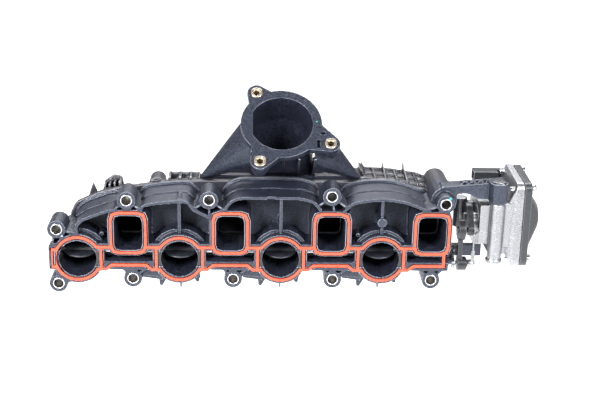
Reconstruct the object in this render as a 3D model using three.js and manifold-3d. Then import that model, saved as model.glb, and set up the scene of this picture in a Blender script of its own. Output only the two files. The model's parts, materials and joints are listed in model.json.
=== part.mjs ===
// Intake manifold of a four-cylinder diesel engine, with its swirl flaps and flap actuator.
// Millimetres. +X runs along the cylinder head, +Y away from it and +Z up.
// The sealing face lies in the plane y = 0 and looks toward -Y. All sizes below are measured
// from the common axis of the round ports; the last group lifts everything by PORT_AXIS_Z, so
// that the origin lies on the lower land of the port flange.
import * as THREE from 'three';
import { mergeVertices } from 'three/addons/utils/BufferGeometryUtils.js';
import Module from 'manifold-3d';

const wasm = await Module();
wasm.setup();

// ---------- driving sizes ----------
const BORE_PITCH = 88;
const PORT_AXIS_Z = 8.8;
const ROUND_X = [-1.5, -0.5, 0.5, 1.5].map((n) => n * BORE_PITCH);
const RECT_X = ROUND_X.map((x) => x + BORE_PITCH / 2);
const GAP = 0.3;
const ROUND_SEGMENTS = 20;
const FACET_TOLERANCE = 0.03;

const ROUND_BORE_R = 16.1;
const ROUND_LAND_R = 22.8;
const RECT_Z = 24;
const RECT_HALF_W = 12;
const RECT_HALF_H = 15.5;
const RECT_LAND = 5.6;

const SEAL_R = 19.6;
const SEAL_HALF = 1.5;
const SEAL_PROUD = 0.8;
const SEAL_DEPTH = 2.3;
const BAR_X = 20.1;
const RUN_TOP_Z = 10.8;
const RUN_LOW_Z = -10;
const RUN_MID_Z = -5.8;
const RUN_STEP_X = 24.5;
const RUN_FLAT_X = 28.5;
const LEFT_LOOP = { left: -153.9, right: -149.9, low: -7.5, top: 8, slimmer: 0.55 };
const RIGHT_CLOSE_X = 187.5;

const BAND_LOW = -10.2;
const BAND_TOP = 14.2;
const BAND_DEPTH = 14;
const LEFT_END = -157;
const RIGHT_END = 192;
const SHELL_DEPTH = 42;
const WALL = 2.6;
const WELD_LIP = 2.6;
const WELD_Y = 40;

// The roof edge of the pocket over each round port, left foot to right foot: x, z, corner radius.
const ARCHES = [
  [[-134.5, 14, 0], [-133.5, 31, 5], [-127, 37, 4], [-107, 44.6, 6], [-97, 46, 0]],
  [[-79, 42, 0], [-76, 49.8, 4], [-66, 52.2, 5], [-44, 54.4, 5], [-36, 53.6, 4], [-30, 46, 4],
    [-17, 39.5, 0]],
  [[-7, 44, 0], [-1, 54, 6], [8, 57.6, 6], [36, 58.3, 10], [63, 57.5, 8], [73, 54, 5],
    [79, 47, 0]],
  [[97, 45, 0], [104, 53, 6], [118, 56, 6], [136, 57.2, 8], [153, 54.4, 5], [174, 46, 0]],
];
const RIB_X = ROUND_X.slice(1);
const POCKET_FLOOR_Y = 21;
const POCKET_FLOOR_RISE = 0.22;

// Compression sleeves: x, z of the axis, then the points where the webs of the boss end.
const SLEEVES = [
  { at: [-149.3, 26.7], feet: [[-154.5, 12], [-144, 15], [-133.5, 23]] },
  { at: [-88.8, 53.5], feet: [[-99, 45.5], [-77.5, 45.5]] },
  { at: [-18.2, 54.3], feet: [[-31, 46.5], [-18, 38], [-5.5, 45.5]] },
  { at: [87.6, 58.2], feet: [[76.5, 50], [90, 43], [99.5, 49]] },
  { at: [186.7, 51.8], feet: [[172, 47], [184, 42], [189.5, 40]] },
  { at: [-149.4, -23.5], feet: [[-151, -8], [-136, -21]] },
  { at: [-84.7, -18.5], feet: [[-94.5, -8], [-85, -8], [-72, -8]] },
  { at: [2.6, -18.8], feet: [[-7.5, -8], [2.6, -8], [16, -8]] },
  { at: [90, -18.9], feet: [[80, -8], [90, -8], [103, -8]] },
  { at: [177.2, -19.2], feet: [[166, -8], [177.2, -8], [188.5, -8]] },
];
const SLEEVE_R = 5.3;
const SLEEVE_BORE_R = 4.05;
const BOSS_R = 7.5;
const BOSS_LENGTH = 25;
const WEB = 1.8;
// The bolt beside the actuator arm goes in through a tunnel behind its sleeve.
const TUNNEL_AT = SLEEVES[4].at;
const TUNNEL_R = 7.8;
const TUNNEL_BACK = 73;

const SHAFT = { y: 24, r: 3 };
const SHAFT_LEFT = -150;
const SHAFT_RIGHT = 206;
const FLAP_R = 15.4;
const FLAP_TILT = THREE.MathUtils.degToRad(8);

const PLENUM_BACK = 104;
const PLENUM_LOW = 2;
const PLENUM_ROOF = [[-143, 27], [-137, 37.5], [-118, 46.5], [-100, 51], [-62, 56.5], [-30, 58],
  [120, 58], [146, 56.5], [172, 52.5], [186, 46.5]];

const INLET = {
  centre: new THREE.Vector3(44, 40, 112.3),
  tilt: THREE.MathUtils.degToRad(51),
  bore: 27.5,
  rim: 35.8,
  thick: 6,
};
const INSERTS = [[-21.8, 33.2], [-18.8, -39.6], [42.7, -20.7]];
const INSERT_R = 5.6;
const INSERT_LENGTH = 9;
const NECK_BASE = { left: -27, right: 116, front: 50, back: 100, backLeft: 8, backRight: 82 };

// Behind its front edge the plenum's roof falls away at the left, and ends sooner at the right.
const ROOF_FALL = 0.42;
const FALL_RIGHT = -20;
const DECK_LEFT = 80;
const DECK_END = 94;

const ACT = { y: 24, z: 32 };
const LEVER_R = 17;
const LEVER_DROP = THREE.MathUtils.degToRad(20);
const HOUSING = { left: 219, right: 251, front: 10, back: 60, low: 6, top: 50 };
const ACTUATOR_POST = { x: 233.5, y: 9 };
const FACE_X = 251.3;
const COVER_X = 256.6;
const PLUG = { left: 221, right: 243, front: 59, back: 72, low: 53, top: 63 };
const TEETH = { output: 40, idlerLarge: 30, idlerSmall: 12, pinion: 10 };
const MODULE = 0.7;
const IDLER_BEARS = -70;
const IDLER_ANGLE = THREE.MathUtils.degToRad(IDLER_BEARS);

// ---------- materials ----------
function material(color, roughness, metalness = 0) {
  return new THREE.MeshStandardMaterial({ color, roughness, metalness });
}
const NYLON = material(0x33363f, 0.5);
const NYLON_DARK = material(0x25272d, 0.6);
const SEAL_RUBBER = material(0xe8542f, 0.55);
const ZINC = material(0xc9ccd0, 0.35, 0.9);
const BRASS = material(0xd9b98a, 0.4, 0.8);
const ALUMINIUM = material(0xc6c8cb, 0.5, 0.85);
const COVER_PLASTIC = material(0x3a3c41, 0.55);
const GEAR_PLASTIC = material(0xd8d2c0, 0.6);
const RUBBER = material(0x1b1c1f, 0.8);
const BOARD = material(0x1f5a3a, 0.5);

// ---------- solid helpers ----------
function solid(geometry) {
  const bare = new THREE.BufferGeometry();
  bare.setAttribute('position', geometry.getAttribute('position'));
  if (geometry.index) bare.setIndex(geometry.index);
  const merged = mergeVertices(bare, 1e-4);
  return new wasm.Manifold(new wasm.Mesh({
    numProp: 3,
    vertProperties: new Float32Array(merged.getAttribute('position').array),
    triVerts: new Uint32Array(merged.index.array),
  }));
}

function geometryOf(body) {
  const mesh = body.asOriginal().simplify(FACET_TOLERANCE).getMesh();
  const geometry = new THREE.BufferGeometry();
  geometry.setAttribute('position', new THREE.BufferAttribute(mesh.vertProperties, 3));
  geometry.setIndex(new THREE.BufferAttribute(mesh.triVerts, 1));
  return geometry;
}

function join(bodies) {
  return wasm.Manifold.union(bodies);
}

// An outline in the XZ plane, carried from y = front to y = back.
function slab(shape, front, back, curveSegments = 2) {
  const geometry = new THREE.ExtrudeGeometry(shape, {
    depth: back - front, bevelEnabled: false, curveSegments,
  });
  geometry.rotateX(Math.PI / 2);
  geometry.translate(0, back, 0);
  return solid(geometry);
}

// A closed outline with its corners rounded. Each point is x, z and an optional radius.
function outline(points) {
  const shape = new THREE.Shape();
  const spots = points.map(([x, z]) => new THREE.Vector2(x, z));
  spots.forEach((here, i) => {
    const before = spots.at(i - 1).clone().sub(here);
    const after = spots[(i + 1) % spots.length].clone().sub(here);
    const cut = Math.min(points[i][2] ?? 0, 0.48 * before.length(), 0.48 * after.length());
    const start = here.clone().add(before.setLength(cut));
    const end = here.clone().add(after.setLength(cut));
    if (i === 0) shape.moveTo(start.x, start.y);
    else shape.lineTo(start.x, start.y);
    if (cut > 0) shape.quadraticCurveTo(here.x, here.y, end.x, end.y);
  });
  shape.closePath();
  return shape;
}

function box(x0, x1, y0, y1, z0, z1) {
  const geometry = new THREE.BoxGeometry(x1 - x0, y1 - y0, z1 - z0);
  geometry.translate((x0 + x1) / 2, (y0 + y1) / 2, (z0 + z1) / 2);
  return solid(geometry);
}

function roundedBox(x, z, halfW, halfH, radius, front, back) {
  const corners = [[-1, -1], [1, -1], [1, 1], [-1, 1]];
  return slab(outline(corners.map(([a, b]) => [x + a * halfW, z + b * halfH, radius])),
    front, back);
}

function barrelY(x, z, radius, front, back, segments = 16) {
  const geometry = new THREE.CylinderGeometry(radius, radius, back - front, segments);
  geometry.translate(x, (front + back) / 2, 0);
  const body = solid(geometry);
  return body.translate([0, 0, z]);
}

function barrelX(y, z, radius, left, right, segments = 16) {
  const geometry = new THREE.CylinderGeometry(radius, radius, right - left, segments);
  geometry.rotateZ(Math.PI / 2);
  geometry.translate((left + right) / 2, y, z);
  return solid(geometry);
}

function barrelZ(x, y, radius, low, top, segments = 16) {
  const geometry = new THREE.CylinderGeometry(radius, radius, top - low, segments);
  geometry.rotateX(Math.PI / 2);
  geometry.translate(x, y, (low + top) / 2);
  return solid(geometry);
}

// A wall of even thickness along the straight line from a to b in the XZ plane.
function web(a, b, thickness, front, back) {
  const along = new THREE.Vector2(b[0] - a[0], b[1] - a[1]).normalize();
  const side = new THREE.Vector2(-along.y, along.x).multiplyScalar(thickness / 2);
  return slab(outline([
    [a[0] - side.x, a[1] - side.y], [b[0] - side.x, b[1] - side.y],
    [b[0] + side.x, b[1] + side.y], [a[0] + side.x, a[1] + side.y],
  ]), front, back);
}

// Moves an open path of x, z, radius points sideways by the given distance, to its right.
function shifted(points, distance) {
  const normals = points.slice(1).map((p, i) => {
    const along = new THREE.Vector2(p[0] - points[i][0], p[1] - points[i][1]).normalize();
    return new THREE.Vector2(along.y, -along.x);
  });
  return points.map(([x, z, radius = 0], i) => {
    const a = normals[Math.max(i - 1, 0)];
    const b = normals[Math.min(i, normals.length - 1)];
    const mid = a.clone().add(b).normalize();
    const reach = distance / mid.dot(a);
    return [x + mid.x * reach, z + mid.y * reach, Math.max(radius - distance, radius ? 1.5 : 0)];
  });
}

const root = new THREE.Group();
root.position.z = PORT_AXIS_Z;

function add(name, body, look, position = [0, 0, 0], parent = root) {
  const mesh = new THREE.Mesh(geometryOf(body), look);
  mesh.name = name;
  mesh.position.set(...position);
  parent.add(mesh);
  return mesh;
}

// ---------- port shell: the front moulding ----------
// What lies under one arch, down to the height given.
function archArea(points, low) {
  const above = points.filter(([, z]) => z > low + 1);
  return outline([[above[0][0], low], ...above, [above.at(-1)[0], low]]);
}

function rectWall(x, grow, front, back) {
  return roundedBox(x, RECT_Z, RECT_HALF_W + grow, RECT_HALF_H + grow, 5 + grow * 0.6,
    front, back);
}

// The seal's net of strips, also used a little wider for its groove.
function sealNet(half, front, back) {
  const strip = (a, b, slimmer = 0) => {
    const width = half - slimmer;
    const end = new THREE.Vector2(b[0] - a[0], b[1] - a[1]).setLength(half - SEAL_HALF);
    return web([a[0] - end.x, a[1] - end.y], [b[0] + end.x, b[1] + end.y], 2 * width, front,
      back);
  };
  const strips = [];
  for (const x of ROUND_X) {
    strips.push(barrelY(x, 0, SEAL_R + half, front, back, ROUND_SEGMENTS)
      .subtract(barrelY(x, 0, SEAL_R - half, front - 1, back + 1, ROUND_SEGMENTS))
      .subtract(box(x - 30, x + 30, front - 1, back + 1, RUN_LOW_Z + half, RUN_TOP_Z - half)));
    for (const side of [-1, 1]) {
      if (side < 0 && x === ROUND_X[0]) continue;
      strips.push(strip([x + side * BAR_X, RUN_LOW_Z], [x + side * BAR_X, RUN_TOP_Z]));
      strips.push(strip([x + side * 15.8, RUN_TOP_Z], [x + side * 28, RUN_TOP_Z]));
      strips.push(strip([x + side * 15.8, RUN_LOW_Z], [x + side * RUN_STEP_X, RUN_LOW_Z]));
      strips.push(strip([x + side * (RUN_STEP_X - 0.9), RUN_LOW_Z - 0.4],
        [x + side * (RUN_FLAT_X + 0.4), RUN_MID_Z]));
    }
  }
  for (const x of RECT_X) {
    strips.push(rectWall(x, 2.85 + half, front, back)
      .subtract(rectWall(x, 2.85 - half, front - 1, back + 1)));
    const reach = BORE_PITCH / 2 - RUN_FLAT_X;
    const right = x === RECT_X.at(-1) ? RIGHT_CLOSE_X + half : x + reach;
    strips.push(strip([x - reach, RUN_MID_Z], [right, RUN_MID_Z]));
  }
  const { left, right, low, top, slimmer } = LEFT_LOOP;
  strips.push(strip([left, low], [left, top], slimmer));
  strips.push(strip([right, low], [right, top], slimmer));
  strips.push(strip([left - half + slimmer, top], [-148, top + 0.8]));
  strips.push(strip([-148.6, top + 0.6], [-145, RUN_TOP_Z + 1.4]));
  strips.push(strip([left - half + slimmer, low], [-148, low - 0.8]));
  strips.push(strip([-148.6, low - 0.6], [-145, RUN_LOW_Z - 4]));
  strips.push(strip([RIGHT_CLOSE_X, RUN_MID_Z], [RIGHT_CLOSE_X, 8]));
  return join(strips);
}

function bossAndWebs({ at: [x, z], feet }) {
  const pieces = feet.map((foot) => {
    const inward = new THREE.Vector2(foot[0] - x, foot[1] - z).setLength(BOSS_R - 1.5);
    return web([x + inward.x, z + inward.y], foot, WEB, GAP, z > 0 ? WELD_Y : BOSS_LENGTH - 3);
  });
  return join([barrelY(x, z, BOSS_R, 0, BOSS_LENGTH), ...pieces]);
}

function boltTunnel() {
  return barrelY(...TUNNEL_AT, TUNNEL_R, BOSS_LENGTH, TUNNEL_BACK + 1);
}

// The slanted face that closes each pocket; everything before it is kept.
function beforeFloor(body, floorY) {
  return body.trimByPlane([0, -1, POCKET_FLOOR_RISE], -floorY);
}

function behindFloor(body, floorY) {
  return body.trimByPlane([0, 1, -POCKET_FLOOR_RISE], floorY);
}

function portShell() {
  const band = join([
    box(LEFT_END, RIGHT_END - 2, 0, BAND_DEPTH, BAND_LOW, BAND_TOP),
    ...ROUND_X.map((x) => barrelY(x, 0, ROUND_LAND_R, 0, BAND_DEPTH, ROUND_SEGMENTS)),
  ]).subtract(slab(outline([[-158, 20], [-158, 10], [-147, 20]]), -1, BAND_DEPTH + 1));
  const arches = ARCHES.map((points) => join([
    slab(archArea(points, 8), 0, 22),
    slab(archArea(shifted(points, -1.4), 8), 20, SHELL_DEPTH),
  ]));
  const lip = [
    ...ARCHES.map((points) => slab(archArea(shifted(points, -1.4 - WELD_LIP), 8),
      WELD_Y, SHELL_DEPTH)),
    box(-146, RIGHT_END, WELD_Y, SHELL_DEPTH, 0, 24),
    ...ROUND_X.map((x) => barrelY(x, 0, 24, WELD_Y, SHELL_DEPTH, ROUND_SEGMENTS)),
    ...RECT_X.map((x) => rectWall(x, 6, WELD_Y, SHELL_DEPTH)),
  ];
  const pockets = beforeFloor(join(ARCHES.map((points) =>
    slab(archArea(shifted(points, WALL), BAND_TOP), -1, 60))), POCKET_FLOOR_Y);
  const hollows = behindFloor(join(ARCHES.map((points) =>
    slab(archArea(shifted(points, WALL), 10), 4, SHELL_DEPTH + 1))), POCKET_FLOOR_Y + WALL + 0.6);
  const roundDucts = ROUND_X.map((x) => barrelY(x, 0, 19.6, 0, SHELL_DEPTH, ROUND_SEGMENTS));
  const roundCollars = ROUND_X.map((x) => barrelY(x, 0, 26, 7, 24, ROUND_SEGMENTS)
    .trimByPlane([0, 0, 1], BAND_TOP - 4));
  const rectDucts = RECT_X.map((x) => rectWall(x, 3, 0, SHELL_DEPTH));
  const rectLands = RECT_X.map((x) => rectWall(x, RECT_LAND, 0, POCKET_FLOOR_Y + 8));
  const ribs = RIB_X.map((x) => box(x - 1.3, x + 1.3, 3, 27, ROUND_LAND_R - 1, 55));
  const pad = barrelY(ROUND_X[3], 34, 4.2, 1.5, 27);
  const bosses = SLEEVES.map(bossAndWebs);
  const fins = ROUND_X.slice(1).flatMap((x) => [
    slab(outline([[x - 1, -19], [x - 1, -27.5], [x + 1, -27.5], [x + 1, -19]]), 12, 38),
    slab(outline([[x - 17, -9], [x - 19.6, -25], [x - 16.6, -25], [x - 11, -13]]), 18, 21),
    slab(outline([[x + 11, -13], [x + 15.4, -25], [x + 17.6, -25], [x + 16, -9]]), 18, 21),
    slab(outline([[x - 34, -8], [x - 34, -20], [x - 12, -22], [x - 12, -8]]), BAND_DEPTH - 3, 16),
  ]);
  const endBoss = join([
    box(186, RIGHT_END, 0, SHELL_DEPTH, BAND_LOW, 40),
    barrelX(SHAFT.y, 0, 9, 186, RIGHT_END + 3),
  ]);
  const screwBarrel = barrelY(...TUNNEL_AT, 11.5, 22, SHELL_DEPTH);

  const channels = RECT_X.map((x) => box(x - 20.9, x + 20.9, -1, SHELL_DEPTH + 1, -2.6, 7.6)
    .subtract(rectWall(x, RECT_LAND - 0.4, -2, SHELL_DEPTH + 2)));
  const lastFloor = box(RECT_X[3] - 21, RECT_X[3] + 12, 30, 32.4, -6, 8);
  const rectBores = RECT_X.map((x) => rectWall(x, 0, -1, SHELL_DEPTH + 1));
  const roundBores = ROUND_X.map((x) => barrelY(x, 0, ROUND_BORE_R, -1, SHELL_DEPTH + 1, ROUND_SEGMENTS));
  const seats = ROUND_X.flatMap((x) => [-1, 1].map((side) =>
    bearingBlock(x, side, GAP, -1)));
  const sleeveHoles = SLEEVES.map(({ at: [x, z] }) =>
    barrelY(x, z, SLEEVE_R + GAP, -1, BOSS_LENGTH + 1));
  const slot = box(LEFT_LOOP.left + 1.3, LEFT_LOOP.right - 1.3, -1, 8, LEFT_LOOP.low + 2,
    LEFT_LOOP.top - 2);
  const shaftHole = barrelX(SHAFT.y, 0, SHAFT.r + GAP, SHAFT_LEFT - 2, RIGHT_END + 10)
    .add(barrelX(SHAFT.y, 0, 5.7, RIGHT_END + GAP, RIGHT_END + 10));

  return join([band, ...arches, ...lip])
    .subtract(join([pockets, hollows]))
    .add(join([...roundDucts, ...roundCollars, ...rectDucts, ...rectLands, ...ribs, pad]))
    .add(join([...bosses, ...fins, endBoss, screwBarrel, actuatorArms()]))
    .subtract(join(channels))
    .add(lastFloor)
    .subtract(join([...rectBores, ...roundBores, ...seats, ...sleeveHoles, slot, shaftHole]))
    .subtract(boltTunnel())
    .subtract(sealNet(SEAL_HALF + GAP, -1, SEAL_DEPTH + GAP));
}

// The arms that reach from the shell's right end to the actuator, one above and one below.
function actuatorArms() {
  const upper = slab(outline([[184, 64], [240, 69], [240, 53, 3], [215, 53, 4], [209, 58, 4],
    [198, 58, 3], [191, 47]]), 12, 27);
  const post = barrelZ(ACTUATOR_POST.x, ACTUATOR_POST.y + 1, 8, 51, 69.4);
  const cells = [0, 1, 2, 3].map((n) => slab(outline([[202 + n * 6.6, 59], [206.4 + n * 6.6, 59],
    [206.4 + n * 6.6, 75], [202 + n * 6.6, 75]]), 15, 24));
  const lower = box(188, 227, 33, 38, -9, 2.4);
  return join([upper, lower, barrelY(...TUNNEL_AT, 11.5, 12, 30)]).subtract(join(cells)).add(post)
    .subtract(barrelZ(ACTUATOR_POST.x, ACTUATOR_POST.y, 3.3, 40, 80))
    .subtract(barrelZ(ACTUATOR_POST.x, ACTUATOR_POST.y, 6.2, 65.6, 80));
}

// A block that closes the side of a round port and carries the flap shaft.
function bearingBlock(x, side, grow = 0, front = 0.8) {
  const nearLoop = side < 0 && x === ROUND_X[0];
  const inner = x + side * (grow ? 13 : 13.5);
  const outer = x + side * ((nearLoop ? 16.2 : 18.4) + grow);
  const block = box(Math.min(inner, outer), Math.max(inner, outer), front, 31 + grow,
    -6.5 - grow, 6.5 + grow);
  return grow ? block : block.subtract(barrelY(x, 0, ROUND_BORE_R, front - 1, 33, ROUND_SEGMENTS));
}

function buildFront() {
  add('port_shell', portShell(), NYLON);
  add('port_gasket', sealNet(SEAL_HALF, -SEAL_PROUD, SEAL_DEPTH), SEAL_RUBBER);
  SLEEVES.forEach(({ at: [x, z] }, i) => {
    const sleeve = barrelY(0, 0, SLEEVE_R, 0.2, BOSS_LENGTH + 0.2)
      .subtract(barrelY(0, 0, SLEEVE_BORE_R, -1, BOSS_LENGTH + 2));
    add(`compression_sleeve_${i + 1}`, sleeve, ZINC, [x, 0, z]);
  });
  ROUND_X.forEach((x, i) => [-1, 1].forEach((side) => {
    const name = `flap_bearing_${i + 1}_${side < 0 ? 'left' : 'right'}`;
    const hole = barrelX(SHAFT.y, 0, SHAFT.r + GAP, x - 25, x + 25);
    add(name, bearingBlock(x, side).subtract(hole), NYLON_DARK);
  }));
}

// ---------- plenum shell: the rear moulding ----------
function plenumBody(inset) {
  const roof = inset ? shifted(PLENUM_ROOF, inset) : PLENUM_ROOF;
  const right = RIGHT_END - 2 - inset;
  const low = PLENUM_LOW + inset;
  const section = slab(outline([[roof[0][0], low], ...roof, [right, 40], [right, low]]),
    inset ? SHELL_DEPTH + 3 : SHELL_DEPTH + 0.05, PLENUM_BACK - inset);
  const scoops = ROUND_X.map((x) => wasm.Manifold.hull([
    barrelY(x, 0, 20.5 - inset, inset ? SHELL_DEPTH - 1 : SHELL_DEPTH + 0.05, 48, 20),
    barrelY(x, 14, 12 - inset, 72 - inset, 76 - inset, 20),
  ]));
  const whole = join([section, ...scoops])
    .trimByPlane([44, -38, 0], -147.5 + inset)
    .trimByPlane([0, -0.6, -0.8], -100.8 + inset)
    .trimByPlane([0, -0.7, 0.7], -61.6 + inset);
  const leftPart = belowFall(belowFall(whole.trimByPlane([-1, 0, 0], -FALL_RIGHT),
    -100, 51, 0.155, inset), -118, 46.5, 0.47, inset);
  const middlePart = whole.trimByPlane([1, 0, 0], FALL_RIGHT - 0.5)
    .trimByPlane([-1, 0, 0], -DECK_LEFT - 0.5);
  const rightPart = whole.trimByPlane([1, 0, 0], DECK_LEFT)
    .trimByPlane([0, -0.6, -0.8], -DECK_END + inset);
  return join([leftPart, middlePart, rightPart]);
}

// Keeps what lies below a roof that passes through x, z at y = 46, rises along X and falls along Y.
function belowFall(body, x, z, rise, inset) {
  const normal = new THREE.Vector3(rise, -ROOF_FALL, -1);
  const onRoof = new THREE.Vector3(x, 46, z);
  const offset = normal.clone().normalize().dot(onRoof);
  return body.trimByPlane(normal.toArray(), offset + inset);
}

function plenumLip(front, back) {
  return join([
    ...ARCHES.map((points) => slab(archArea(shifted(points, -1.4 - WELD_LIP), 8), front, back)),
    box(-146, RIGHT_END - 2, front, back, 0, 24),
    ...ROUND_X.map((x) => barrelY(x, 0, 24, front, back, ROUND_SEGMENTS)),
  ]);
}

function plenumRibs() {
  const alongX = [48, 64, 80].map((y) => box(66, 176, y, y + 1.6, 44, 60.5));
  const alongY = [69, 77, 85, 93, 101, 109, 129, 149, 167].map((x) =>
    box(x, x + 1.6, 45, 81, 44, 60.5));
  const grid = join([...alongX, ...alongY]).intersect(slab(outline([[64, 44], [64, 60.5],
    [118, 60.5], [146, 59], [172, 55], [178, 52], [178, 44]]), 44, 88));
  const tallFins = [120, 139, 158].map((x) => slab(outline([[0, 50], [0, 57], [39, 62.5],
    [42, 62.5], [40, 50]]), 0, 1.4).rotate([0, 0, 90]).translate([x + 1.4, 46, 0]));
  const leftBlock = [-56, -46.6, -37.3, -29].map((x) => box(x, x + 2.4, 46, 62, 47, 60.6));
  const leftBlockBack = box(-56, -27, 58, 62, 47, 60);
  const rearRibs = [-88, -44, 0, 44, 88, 132].map((x) => box(x - 1.2, x + 1.2, 100,
    PLENUM_BACK + 3, 12, x < FALL_RIGHT ? 25 : 46));
  const rearRun = box(-100, RIGHT_END - 6, 100, PLENUM_BACK + 3, 20, 22);
  return join([grid, ...tallFins, ...leftBlock, leftBlockBack, ...rearRibs, rearRun]);
}

function leftCornerFins() {
  const fin = slab(outline([[-132.5, 27], [-125.2, 48.2], [-117.5, 28]]), 66, 68.4);
  const block = slab(outline([[-117.5, 34], [-114, 50.5], [-106, 56], [-98.5, 54.5], [-95, 36]]),
    62, 66);
  const blockFins = [-114, -109.5, -105, -100.5].map((x) => box(x, x + 1.8, 50, 63, 36,
    50 + (x + 114) * 0.3));
  return join([fin, block, ...blockFins]);
}

function plenumShell() {
  const bosses = join([
    barrelY(-66, 52, BOSS_R, 46, 66),
    barrelY(113, 58, BOSS_R, 62, 84),
  ]);
  const tunnelWall = barrelY(...TUNNEL_AT, TUNNEL_R + 2.6, SHELL_DEPTH + 0.05, TUNNEL_BACK);
  const mouths = join([
    ...ARCHES.map((points) => slab(archArea(shifted(points, WALL + 1), 10), 41, 47)),
    ...ROUND_X.map((x) => barrelY(x, 0, 17.5, 41, 48, ROUND_SEGMENTS)),
    ...RECT_X.map((x) => rectWall(x, -1.5, 41, 47)),
  ]);
  const neckOpening = box(20, 68, 58, 90, 50, 64);
  return join([
    plenumBody(0), plenumLip(SHELL_DEPTH + 0.05, 44.6), plenumRibs(), leftCornerFins(), bosses,
  ]).subtract(join([plenumBody(3), mouths, neckOpening]))
    .add(tunnelWall)
    .subtract(boltTunnel())
    .subtract(box(NECK_BASE.left - 1, NECK_BASE.right + 1, 44.8, NECK_BASE.back + 5, 58, 80));
}

// ---------- inlet neck: the upper moulding ----------
function onInlet(body) {
  const lean = 90 - THREE.MathUtils.radToDeg(INLET.tilt);
  return body.rotate([lean, 0, 0]).translate(INLET.centre.toArray());
}

function inletBarrel(u, v, radius, low, top, segments = ROUND_SEGMENTS) {
  return onInlet(barrelZ(u, v, radius, low, top, segments));
}

// The neck's foot narrows toward the back; its hull spans these two bars.
function neckBase(inset, low, top) {
  const { left, right, front, back, backLeft, backRight } = NECK_BASE;
  return [
    box(left + inset, right - inset, front + inset, front + inset + 3, low, top),
    box(backLeft + inset, backRight - inset, back - inset - 3, back - inset, low, top),
  ];
}

function inletNeck() {
  const { bore, rim, thick } = INLET;
  const { front } = NECK_BASE;
  const floor = 58.05;
  const lobes = INSERTS.map(([u, v]) => wasm.Manifold.hull([
    inletBarrel(u, v, 8.4, -thick, 0, 16), inletBarrel(u * 0.3, v * 0.3, 20, -thick, 0, 16),
  ]));
  const flange = join([inletBarrel(0, 0, rim, -thick, 0, 36), ...lobes,
    ...INSERTS.map(([u, v]) => inletBarrel(u, v, 7.4, -13, -1, 16))]);
  const hoodOuter = wasm.Manifold.hull([
    inletBarrel(0, 0, 33, -thick - 3, -thick + 1), ...neckBase(0, floor, 60.5),
  ]);
  const hoodInner = wasm.Manifold.hull([
    inletBarrel(0, 0, 30, -thick - 3, -thick),
    inletBarrel(0, 60, 30, -thick - 3, -thick),
    ...neckBase(3, floor - 5, 58.5),
  ]);
  const recess = box(30, 73, 20, 90, 61, 130);
  const hood = hoodOuter.subtract(join([hoodInner, recess]));
  const tube = wasm.Manifold.hull([
    inletBarrel(0, 0, bore + 3, -30, -thick + 1), box(17, 71, 56, 93, floor, 60),
  ]).add(inletBarrel(0, 0, bore + 3, -30, -1));
  const ribs = [46, 59.5].map((x) => box(x - 1, x + 1, front, 78, floor, 100));
  const underFlange = join(ribs).trimByPlane([0, 0.629, -0.777],
    INLET.centre.dot(new THREE.Vector3(0, 0.629, -0.777)) + 3);
  const foot = wasm.Manifold.hull(neckBase(0, floor, 61))
    .subtract(wasm.Manifold.hull(neckBase(5, 50, 70)))
    .add(box(17, 71, 54, 94, floor, 61));
  const passage = join([
    inletBarrel(0, 0, bore, -31, 1),
    wasm.Manifold.hull([inletBarrel(0, 0, bore, -31, -30),
      box(21, 67, 59, 89, floor - 1, 60)]),
  ]);
  const chord = inletBarrel(0, 0, bore + 1, -20, 0).intersect(
    onInlet(box(-bore - 2, -bore + 2.6, -40, 40, -20, 0)));
  const insertHoles = INSERTS.map(([u, v]) => inletBarrel(u, v, INSERT_R + GAP,
    -INSERT_LENGTH - GAP, 1, 16));
  const slots = [[33.5, -10, 5, 1.2], [32, -21, 1.2, 4.4], [-10.5, -33.5, 2, 1.6],
    [-27, -32, 1.6, 2]].map(([u, v, halfU, halfV]) =>
    onInlet(box(u - halfU, u + halfU, v - halfV, v + halfV, -4, 1)));
  const sightHole = box(81, 85.5, 40, 70, 64, 67.5);
  return join([flange, hood, tube, underFlange, foot])
    .subtract(passage)
    .add(chord)
    .subtract(join([...insertHoles, ...slots, sightHole]));
}

function buildRear() {
  add('plenum_shell', plenumShell(), NYLON);
  add('inlet_neck', inletNeck(), NYLON);
  const inletGroup = new THREE.Group();
  inletGroup.position.copy(INLET.centre);
  inletGroup.rotation.x = Math.PI / 2 - INLET.tilt;
  root.add(inletGroup);
  INSERTS.forEach(([u, v], i) => {
    const insert = barrelZ(0, 0, INSERT_R, -INSERT_LENGTH, 0.2)
      .subtract(barrelZ(0, 0, 2.6, -INSERT_LENGTH - 1, 1, 12));
    add(`inlet_insert_${i + 1}`, insert, BRASS, [u, v, 0], inletGroup);
  });
}

// ---------- swirl flaps and their shaft ----------
const BALL = {
  y: -LEVER_R * Math.cos(LEVER_DROP),
  z: -LEVER_R * Math.sin(LEVER_DROP),
};

function flapDisc() {
  const hub = barrelX(0, 0, 4.6, -13, 13);
  const disc = barrelZ(0, 0, FLAP_R, -0.9, 0.9, ROUND_SEGMENTS)
    .rotate([THREE.MathUtils.radToDeg(FLAP_TILT), 0, 0]);
  return hub.add(disc).subtract(barrelX(0, 0, SHAFT.r + GAP, -20, 20));
}

// A flat link between two parallel X axes, with a rounded end on each.
function link(x0, x1, a, b) {
  return wasm.Manifold.hull([
    barrelX(a.y, a.z, a.r, x0, x1), barrelX(b.y, b.z, b.r, x0, x1),
  ]);
}

function hexNut(x0, x1, y, z, across, hole) {
  const body = barrelX(0, 0, across / Math.sqrt(3), x0, x1, 6)
    .subtract(barrelX(0, 0, hole, x0 - 1, x1 + 1, 12));
  return body.translate([0, y, z]);
}

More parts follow.
